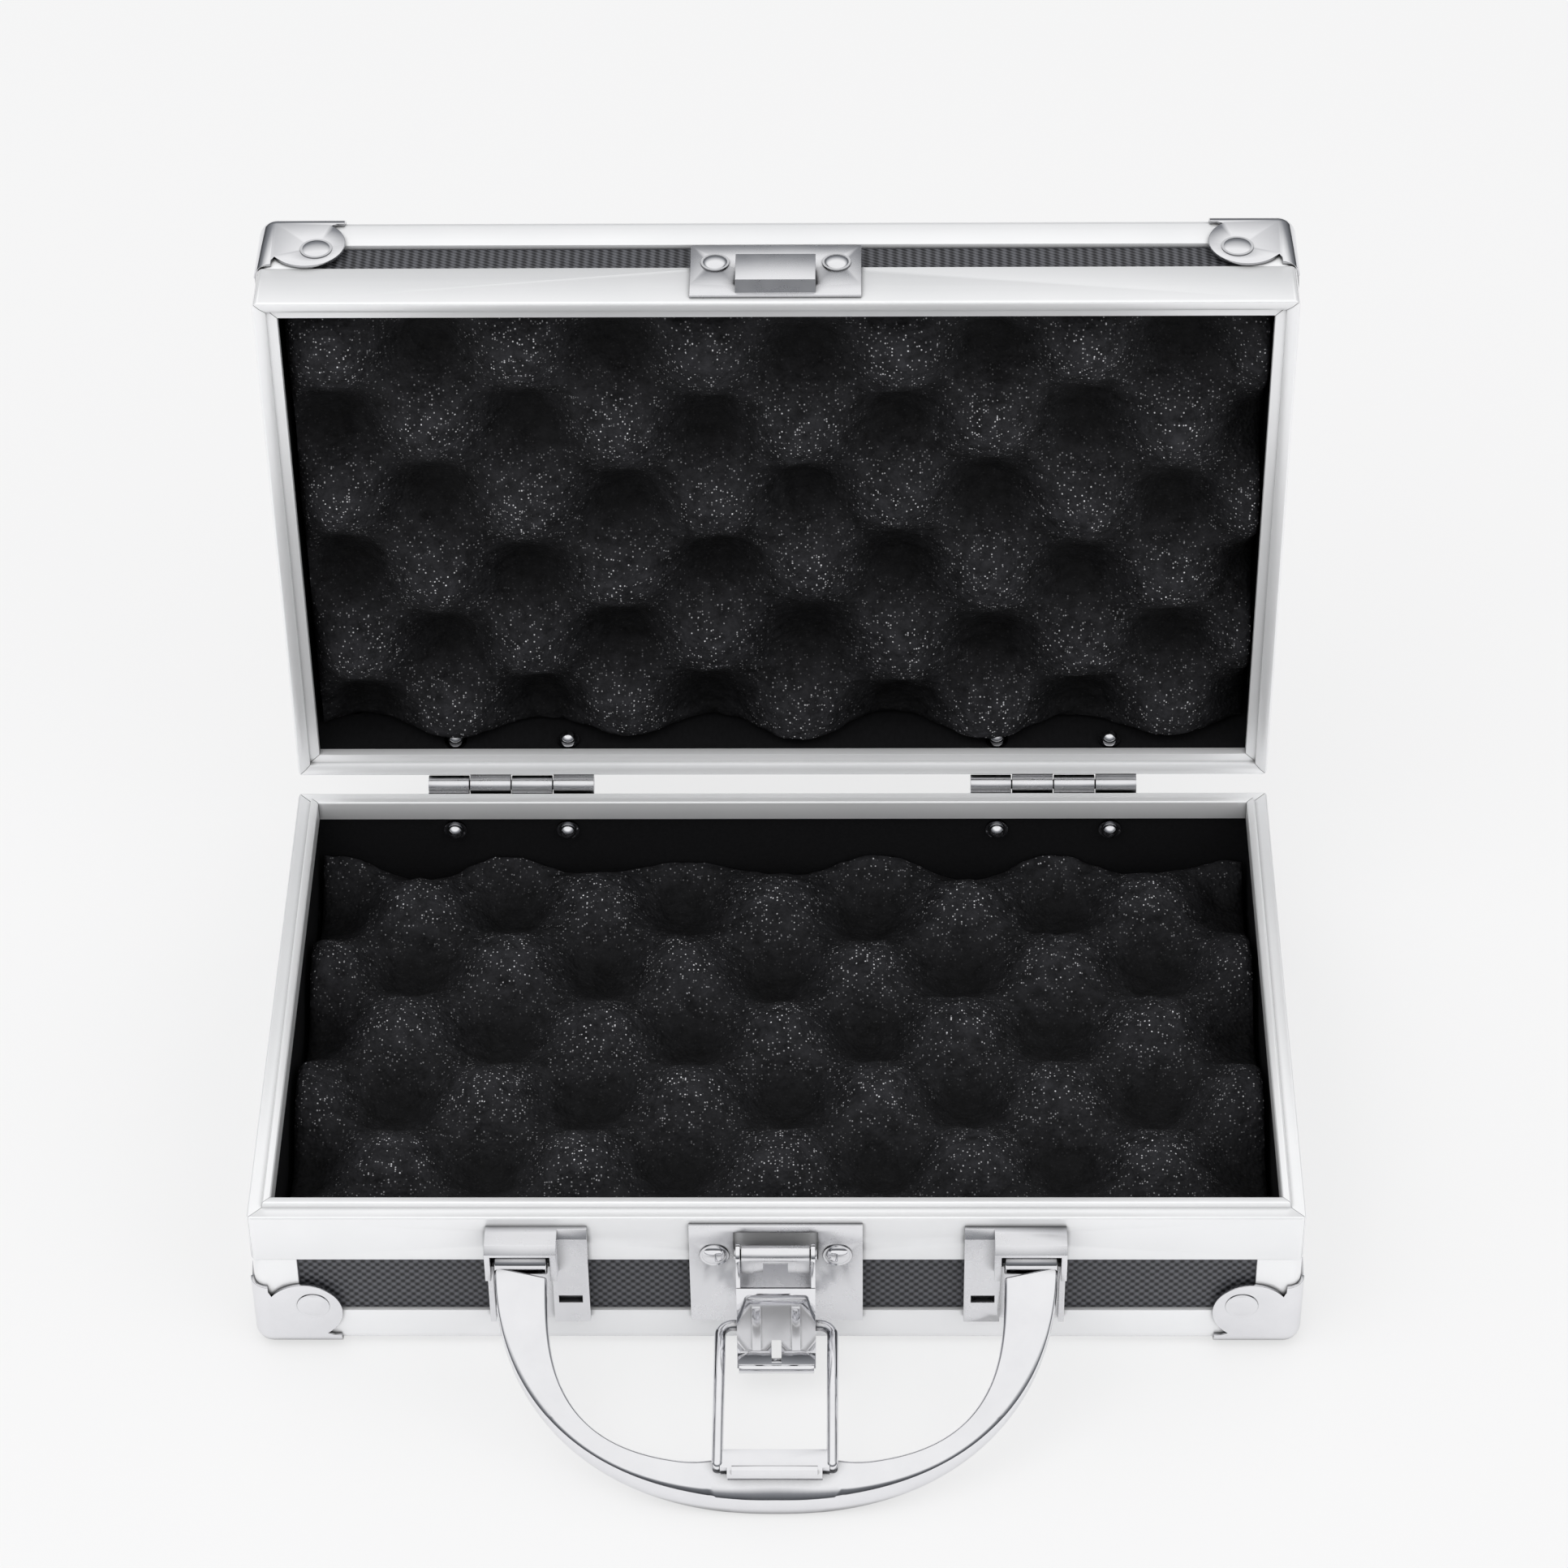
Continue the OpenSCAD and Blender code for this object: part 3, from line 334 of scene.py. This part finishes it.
for half in ("base", "lid"):
    for side in ("front", "rear"):
        broken(f"{half}_rim_{side}", anodisedAlongX, frameEdges["rim"])
        broken(f"{half}_edge_{side}", anodisedAlongX, frameEdges["edge"])
    for side in ("left", "right"):
        along = anodisedAlongY if half == "base" else anodisedAlongZ
        broken(f"{half}_rim_{side}", along, frameEdges["rim"])
        broken(f"{half}_edge_{side}", along, frameEdges["edge"])
    posts = anodisedAlongZ if half == "base" else anodisedAlongY
    broken(f"{half}_corner_posts", posts, frameEdges["edge"])
print("frame pieces made")

insides = {}
for half in ("base", "lid"):
    spans = [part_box(f"{half}_{side}_panel") for side in ("front", "rear", "left", "right")]
    insides[half] = sum(((low + high) / 2 for low, high in spans), Vector((0, 0, 0))) / 4

for name in nodes:
    if name.endswith("_panel"):
        dress(nodes[name], laminate)
        linePanel(nodes[name], insides[name.split("_")[0]])

stampings = {
    "base_corner_caps": (chromePlate, 0.00025), "lid_corner_caps": (chromePlate, 0.00025),
    "latch_plate": (satinPlate, 0.00025), "catch_plate": (satinPlate, 0.00025),
    "latch_lever": (chromePlate, 0.00025), "latch_bail": (chromePlate, 0.0003),
    "handle_bracket_left": (satinPlate, 0.0003), "handle_bracket_right": (satinPlate, 0.0003),
    "hinge_base_leaves": (satinPlate, 0.0002), "hinge_lid_leaves": (satinPlate, 0.0002),
    "latch_pin": (chromePlate, 0.0002), "handle_pins": (chromePlate, 0.0002), "hinge_pins": (chromePlate, 0.0002),
    "handle_bracket_rivets": (chromePlate, 0.0002),
}

for name, (material, width) in stampings.items():
    broken(name, material, width)
print("stampings made")


def headKit():
    # a round head on a washer, set on every point of a mesh and turned to the point's own aim
    kit = bpy.data.node_groups.new("fastenerHeads", "GeometryNodeTree")
    faceOf = kit.interface
    faceOf.new_socket("Points", in_out="INPUT", socket_type="NodeSocketGeometry")
    for name in ("Washer radius", "Washer height", "Dome radius", "Dome height"):
        faceOf.new_socket(name, in_out="INPUT", socket_type="NodeSocketFloat")
    faceOf.new_socket("Finish", in_out="INPUT", socket_type="NodeSocketMaterial")
    faceOf.new_socket("Heads", in_out="OUTPUT", socket_type="NodeSocketGeometry")
    given = addNode(kit, "NodeGroupInput").outputs
    washer = addNode(kit, "GeometryNodeMeshCylinder", {"Vertices": 48},
                     {"Radius": given["Washer radius"], "Depth": given["Washer height"]})
    half = addNode(kit, "ShaderNodeMath", {"operation": "MULTIPLY", 1: 0.5}, {0: given["Washer height"]})
    lift = addNode(kit, "ShaderNodeCombineXYZ", links={"Z": half.outputs[0]})
    seated = addNode(kit, "GeometryNodeTransform", links={"Geometry": washer.outputs["Mesh"], "Translation": lift.outputs[0]})
    ball = addNode(kit, "GeometryNodeMeshUVSphere", {"Segments": 48, "Rings": 24, "Radius": 1.0})
    size = addNode(kit, "ShaderNodeCombineXYZ",
                   links={"X": given["Dome radius"], "Y": given["Dome radius"], "Z": given["Dome height"]})
    dome = addNode(kit, "GeometryNodeTransform", links={"Geometry": ball.outputs["Mesh"], "Scale": size.outputs[0]})
    head = addNode(kit, "GeometryNodeJoinGeometry")
    kit.links.new(seated.outputs["Geometry"], head.inputs[0])
    kit.links.new(dome.outputs["Geometry"], head.inputs[0])
    aim = addNode(kit, "GeometryNodeInputNamedAttribute", {"data_type": "FLOAT_VECTOR", "Name": "aim"})
    turn = addNode(kit, "FunctionNodeAlignRotationToVector", {"axis": "Z"}, {"Vector": aim.outputs[0]})
    placed = addNode(kit, "GeometryNodeInstanceOnPoints",
                     links={"Points": given["Points"], "Instance": head.outputs[0], "Rotation": turn.outputs[0]})
    real = addNode(kit, "GeometryNodeRealizeInstances", links={"Geometry": placed.outputs[0]})
    done = addNode(kit, "GeometryNodeSetMaterial", links={"Geometry": real.outputs[0], "Material": given["Finish"]})
    addNode(kit, "NodeGroupOutput", links={"Heads": done.outputs[0]})
    return kit


fastenerHeads = headKit()


def headSpots(node):
    # the seat and the outward aim of each fastener in a CAD solid, read from its loose parts
    bm = bmesh.new()
    bm.from_mesh(nodes[node].data)
    bmesh.ops.remove_doubles(bm, verts=bm.verts, dist=2e-6)
    seen = set()
    spots = []
    for start in bm.verts:
        if start in seen:
            continue
        stack, part = [start], []
        seen.add(start)
        while stack:
            vert = stack.pop()
            part.append(nodes[node].matrix_world @ vert.co)
            for edge in vert.link_edges:
                other = edge.other_vert(vert)
                if other not in seen:
                    seen.add(other)
                    stack.append(other)
        points = np.array(part)
        low, high = points.min(0), points.max(0)
        span = high - low
        axis = max(range(3), key=lambda k: min(abs(span[k] - span[j]) for j in range(3) if j != k))
        middle = (low + high) / 2
        others = [k for k in range(3) if k != axis]
        radial = np.hypot(points[:, others[0]] - middle[others[0]], points[:, others[1]] - middle[others[1]])
        widest = points[radial > radial.max() - 2e-5, axis]
        outward = 1 if widest.mean() > middle[axis] else -1
        aim = [0.0, 0.0, 0.0]
        aim[axis] = outward
        seat = middle.copy()
        seat[axis] = widest.min() if outward > 0 else widest.max()
        spots.append((tuple(seat), tuple(aim)))
    bm.free()
    return spots


fasteners = {
    "base_cap_rivets": (0.0037, 0.00022, 0.0034, 0.0006),
    "lid_cap_rivets": (0.0037, 0.00022, 0.0034, 0.0006),
    "latch_plate_rivets": (0.0033, 0.0003, 0.0029, 0.0011),
    "catch_plate_rivets": (0.0033, 0.0003, 0.0029, 0.0011),
    "hinge_base_screws": (0.0021, 0.0002, 0.0020, 0.0012),
    "hinge_lid_screws": (0.0021, 0.0002, 0.0020, 0.0012),
    "hinge_base_nuts": (0.0028, 0.0006, 0.0021, 0.0023),
    "hinge_lid_nuts": (0.0028, 0.0006, 0.0021, 0.0023),
}


def setHeads(node, washerRadius, washerHeight, domeRadius, domeHeight):
    spots = headSpots(node)
    points = meshObject(node + "_piece", [spot for spot, aim in spots], [])
    aims = points.data.attributes.new("aim", "FLOAT_VECTOR", "POINT")
    aims.data.foreach_set("vector", [value for spot, aim in spots for value in aim])
    maker = points.modifiers.new("heads", "NODES")
    maker.node_group = fastenerHeads
    given = {item.name: item.identifier for item in fastenerHeads.interface.items_tree if item.in_out == "INPUT"}
    maker[given["Washer radius"]] = washerRadius
    maker[given["Washer height"]] = washerHeight
    maker[given["Dome radius"]] = domeRadius
    maker[given["Dome height"]] = domeHeight
    maker[given["Finish"]] = chromePlate
    settle(points)
    for face in points.data.polygons:
        face.use_smooth = True
    points.data.set_sharp_from_angle(angle=math.radians(50))
    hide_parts(node)
    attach(points, nodes[node]["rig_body"])
    print(node, len(spots), "heads")


for node, sizes in fasteners.items():
    setHeads(node, *sizes)


# the handle: one smooth pressed bow, flat arms that swell into a creased grip
handleShape = {"reach": 0.05698, "depth": 0.0105, "armAt": 0.0578, "armWide": 0.0121, "armThick": 0.004,
               "gripThick": 0.0058, "swell": 0.003, "drop": 29.7, "eye": 0.0032, "bore": 0.00155, "steps": 180}


def makeHandle(reach, depth, armAt, armWide, armThick, gripThick, swell, drop, eye, bore, steps):
    inner, outer = armAt - armWide / 2, armAt + armWide / 2
    mix = lambda a, b, t: a + (b - a) * t
    power = lambda v, k: math.copysign(abs(v) ** k, v)
    verts = []
    for k in range(steps + 1):
        angle = math.radians(mix(1.2, 178.8, k / steps))
        ix, iy = -inner * power(math.cos(angle), 2 / 3.3), (reach - depth) * power(math.sin(angle), 2 / 3.3)
        if abs(ix) < inner * 0.42:
            iy -= swell * math.cos(math.pi / 2 * ix / (inner * 0.42)) ** 2
        ox, oy = -outer * power(math.cos(angle), 2 / 2.25), reach * power(math.sin(angle), 2 / 2.25)
        grown = math.sin(angle) ** 1.5
        top, low = mix(armThick / 2, 0, grown), mix(-armThick / 2, -gripThick, grown)
        crease, fall, thick = mix(0.86, 0.6, grown), mix(0.12, 1, grown), top - low
        shape = [(0, mix(top, low, 0.16)), (0.05, top), (crease, top),
                 (mix(crease, 1, 0.5), top - fall * thick * 0.2), (mix(crease, 1, 0.86), top - fall * thick * 0.5),
                 (1, top - mix(0.4, 0.86, grown) * thick), (mix(0.97, 0.98, grown), low),
                 (0.08, low), (0, mix(low, top, 0.16))]
        verts += [(mix(ix, ox, f), -mix(iy, oy, f), z) for f, z in shape]
    ring = 9
    faces = [tuple(reversed(range(ring)))]
    faces += [(k * ring + j, k * ring + (j + 1) % ring, (k + 1) * ring + (j + 1) % ring, (k + 1) * ring + j)
              for k in range(steps) for j in range(ring)]
    faces.append(tuple(steps * ring + j for j in range(ring)))
    for side in (-1, 1):
        base = len(verts)
        count = 40
        for radius in (eye, bore):
            for x in (side * inner, side * outer):
                verts += [(x, radius * math.cos(2 * math.pi * k / count), radius * math.sin(2 * math.pi * k / count))
                          for k in range(count)]
        a, b, c, d = (base + n * count for n in range(4))
        for k in range(count):
            n = (k + 1) % count
            faces += [(a + k, a + n, b + n, b + k), (c + n, c + k, d + k, d + n),
                      (a + n, a + k, c + k, c + n), (b + k, b + n, d + n, d + k)]
    piece = meshObject("handle_piece", verts, faces)
    bm = bmesh.new()
    bm.from_mesh(piece.data)
    bmesh.ops.recalc_face_normals(bm, faces=bm.faces)
    sharp = [e for e in bm.edges if len(e.link_faces) == 2 and e.calc_face_angle(0) > math.radians(30)]
    bmesh.ops.bevel(bm, geom=sharp, offset=0.0007, segments=4, profile=0.5, affect="EDGES", clamp_overlap=True)
    seat = Vector(joints["handle_pivot"]["pos_m"])
    bm.transform(Matrix.Translation(seat) @ Matrix.Rotation(math.radians(drop), 4, "X"))
    bm.to_mesh(piece.data)
    bm.free()
    piece.data.set_sharp_from_angle(angle=math.radians(40))
    dress(piece, chromePlate)
    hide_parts("handle")
    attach(piece, "handle")


makeHandle(**handleShape)
print("handle made")

foamPads = {
    "base_foam": {"pitch": (0.045, 0.044), "peak": (-0.0002, 0.0152), "depth": 0.0115, "step": 0.0008},
    "lid_foam": {"pitch": (0.0442, 0.044), "peak": (0.0062, 0.1459), "depth": 0.013, "step": 0.0008},
}


def eggCrate(node, pitch, peak, depth, step):
    # one closed pad: a waved face on a flat back, with plain sides
    low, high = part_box(node)
    upright = node.startswith("lid")
    across = (low.x, high.x)
    along = (low.z, high.z) if upright else (low.y, high.y)
    outer = low.y if upright else high.z
    back = high.y if upright else low.z
    us = np.linspace(across[0], across[1], int((across[1] - across[0]) / step) + 1)
    vs = np.linspace(along[0], along[1], int((along[1] - along[0]) / step) + 1)
    u, v = np.meshgrid(us, vs, indexing="ij")
    rng = np.random.default_rng(7)
    warpU = sum(0.0007 * np.sin(2 * np.pi * (k[0] * u + k[1] * v) + k[2]) for k in rng.uniform((4, 4, 0), (11, 11, 6.28), (3, 3)))
    warpV = sum(0.0007 * np.sin(2 * np.pi * (k[0] * u - k[1] * v) + k[2]) for k in rng.uniform((4, 4, 0), (11, 11, 6.28), (3, 3)))
    wave = np.cos(2 * np.pi * (u + warpU - peak[0]) / pitch[0]) * np.cos(2 * np.pi * (v + warpV - peak[1]) / pitch[1])
    wave = wave * (1.22 - 0.22 * wave ** 2)
    fine = np.zeros_like(u)
    for size, height in ((0.006, 0.00025), (0.0026, 0.00016)):
        for k in rng.uniform((-1, -1, 0), (1, 1, 6.28), (7, 3)):
            fine += height * np.sin(2 * np.pi * (k[0] * u + k[1] * v) / size + k[2]) / 2.6
    dip = (1 - wave) / 2 * depth + 0.0006 + fine
    edge = np.minimum(np.minimum(u - across[0], across[1] - u), np.minimum(v - along[0], along[1] - v))
    dip += 0.0012 * np.clip(1 - edge / 0.0022, 0, 1) ** 2
    dip = np.clip(dip, 0.00005, None)
    sign = 1 if upright else -1
    level = outer + sign * dip
    rows, cols = u.shape
    face = [(a, c, b) if upright else (a, b, c) for a, b, c in zip(u.ravel(), v.ravel(), level.ravel())]
    rim = [i * cols for i in range(rows)] + [(rows - 1) * cols + j for j in range(1, cols)]
    rim += [i * cols + cols - 1 for i in range(rows - 2, -1, -1)] + [j for j in range(cols - 2, 0, -1)]
    foot = [(face[i][0], back, face[i][2]) if upright else (face[i][0], face[i][1], back) for i in rim]
    verts = face + foot
    quads = [(i * cols + j, (i + 1) * cols + j, (i + 1) * cols + j + 1, i * cols + j + 1)
             for i in range(rows - 1) for j in range(cols - 1)]
    count = len(rim)
    base = len(face)
    quads += [(rim[(k + 1) % count], rim[k], base + k, base + (k + 1) % count) for k in range(count)]
    quads.append([base + k for k in range(count)])
    pad = meshObject(node + "_piece", verts, quads)
    bm = bmesh.new()
    bm.from_mesh(pad.data)
    bmesh.ops.recalc_face_normals(bm, faces=bm.faces)
    bm.to_mesh(pad.data)
    bm.free()
    pad.data.set_sharp_from_angle(angle=math.radians(60))
    shade = pad.data.attributes.new("dip", "FLOAT", "POINT")
    deep = np.concatenate([np.clip(dip.ravel() / depth, 0, 1), np.ones(len(foot))])
    shade.data.foreach_set("value", deep.astype(np.float32))
    dress(pad, foamMaterial)
    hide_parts(node)
    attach(pad, nodes[node]["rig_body"])
    return pad


for node, sizes in foamPads.items():
    eggCrate(node, **sizes)
print("foam pads made")


studio = {"floor": "#f3f3f4", "sky": "#f9f9f9", "fill": 0.86, "key": 6.0}


def makeFloor():
    mesh = bpy.data.meshes.new("studioFloor")
    half = 6.0
    mesh.from_pydata([(-half, -half, 0), (half, -half, 0), (half, half, 0), (-half, half, 0)], [], [(0, 1, 2, 3)])
    floor = bpy.data.objects.new("studioFloor", mesh)
    bpy.context.scene.collection.objects.link(floor)
    # pale matt paper sweep
    made = bpy.data.materials.new("paleSweep")
    made.use_nodes = True
    tree = made.node_tree
    shader = tree.nodes["Principled BSDF"]
    shader.inputs["Base Color"].default_value = linear(studio["floor"])
    shader.inputs["Roughness"].default_value = 0.9
    shader.inputs["Specular IOR Level"].default_value = 0.1
    # the lens and mirrors see it nearly white, with a faint shadow left in
    white = addNode(tree, "ShaderNodeEmission", {"Color": linear("#f7f7f7"), "Strength": 1.0})
    path = addNode(tree, "ShaderNodeLightPath")
    lensShare = addNode(tree, "ShaderNodeMath", {"operation": "MULTIPLY", 1: 0.7}, {0: path.outputs["Is Camera Ray"]})
    share = addNode(tree, "ShaderNodeMath", {"operation": "MULTIPLY_ADD", 1: 0.3},
                    {0: path.outputs["Is Glossy Ray"], 2: lensShare.outputs["Value"]})
    blend = addNode(tree, "ShaderNodeMixShader",
                    links={0: share.outputs["Value"], 1: shader.outputs["BSDF"], 2: white.outputs["Emission"]})
    tree.links.new(blend.outputs["Shader"], tree.nodes["Material Output"].inputs["Surface"])
    floor.data.materials.append(made)
    return floor


makeFloor()

world = bpy.data.worlds.new("studioWorld")
bpy.context.scene.world = world
world.use_nodes = True
tree = world.node_tree
tree.nodes.clear()
path = addNode(tree, "ShaderNodeLightPath")
seen = addNode(tree, "ShaderNodeMath", {"operation": "MAXIMUM"},
               {0: path.outputs["Is Camera Ray"], 1: path.outputs["Is Glossy Ray"]})
seen = addNode(tree, "ShaderNodeMath", {"operation": "MAXIMUM"},
               {0: seen.outputs["Value"], 1: path.outputs["Is Transmission Ray"]})
fill = addNode(tree, "ShaderNodeBackground", {"Color": linear(studio["sky"]), "Strength": studio["fill"]})
backdrop = addNode(tree, "ShaderNodeBackground", {"Color": linear(studio["sky"]), "Strength": 1.0})
up = addNode(tree, "ShaderNodeSeparateXYZ", links={"Vector": addNode(tree, "ShaderNodeTexCoord").outputs["Generated"]})
grade = addNode(tree, "ShaderNodeValToRGB", links={"Fac": up.outputs["Z"]})
grade.color_ramp.elements[0].color = linear("#36383c")
haze = grade.color_ramp.elements.new(0.4)
haze.color = linear("#8d8f93")
grade.color_ramp.elements[2].color = linear("#ffffff")
grade.color_ramp.elements[2].position = 0.72
surround = addNode(tree, "ShaderNodeBackground", {"Strength": 1.0}, {"Color": grade.outputs["Color"]})
mirrored = addNode(tree, "ShaderNodeMixShader",
                   links={0: path.outputs["Is Glossy Ray"], 1: backdrop.outputs["Background"], 2: surround.outputs["Background"]})
both = addNode(tree, "ShaderNodeMixShader", links={0: seen.outputs["Value"], 1: fill.outputs["Background"], 2: mirrored.outputs["Shader"]})
addNode(tree, "ShaderNodeOutputWorld", links={"Surface": both.outputs["Shader"]})


def softBox(name, place, target, size, power):
    light = bpy.data.lights.new(name, "AREA")
    light.shape = "RECTANGLE"
    light.size, light.size_y = size
    light.energy = power
    lamp = bpy.data.objects.new(name, light)
    lamp.location = place
    lamp.rotation_euler = (Vector(target) - Vector(place)).to_track_quat("-Z", "Y").to_euler()
    lamp.visible_glossy = False
    bpy.context.scene.collection.objects.link(lamp)
    return lamp


softBox("keyLight", (-0.5, -0.5, 1.3), (0, 0, 0.05), (1.2, 1.2), studio["key"])
softBox("fillLight", (0.9, -0.7, 0.9), (0, 0, 0.05), (1.0, 1.0), studio["key"] * 0.5)

bpy.context.scene.view_settings.view_transform = "Standard"
print("studio made")
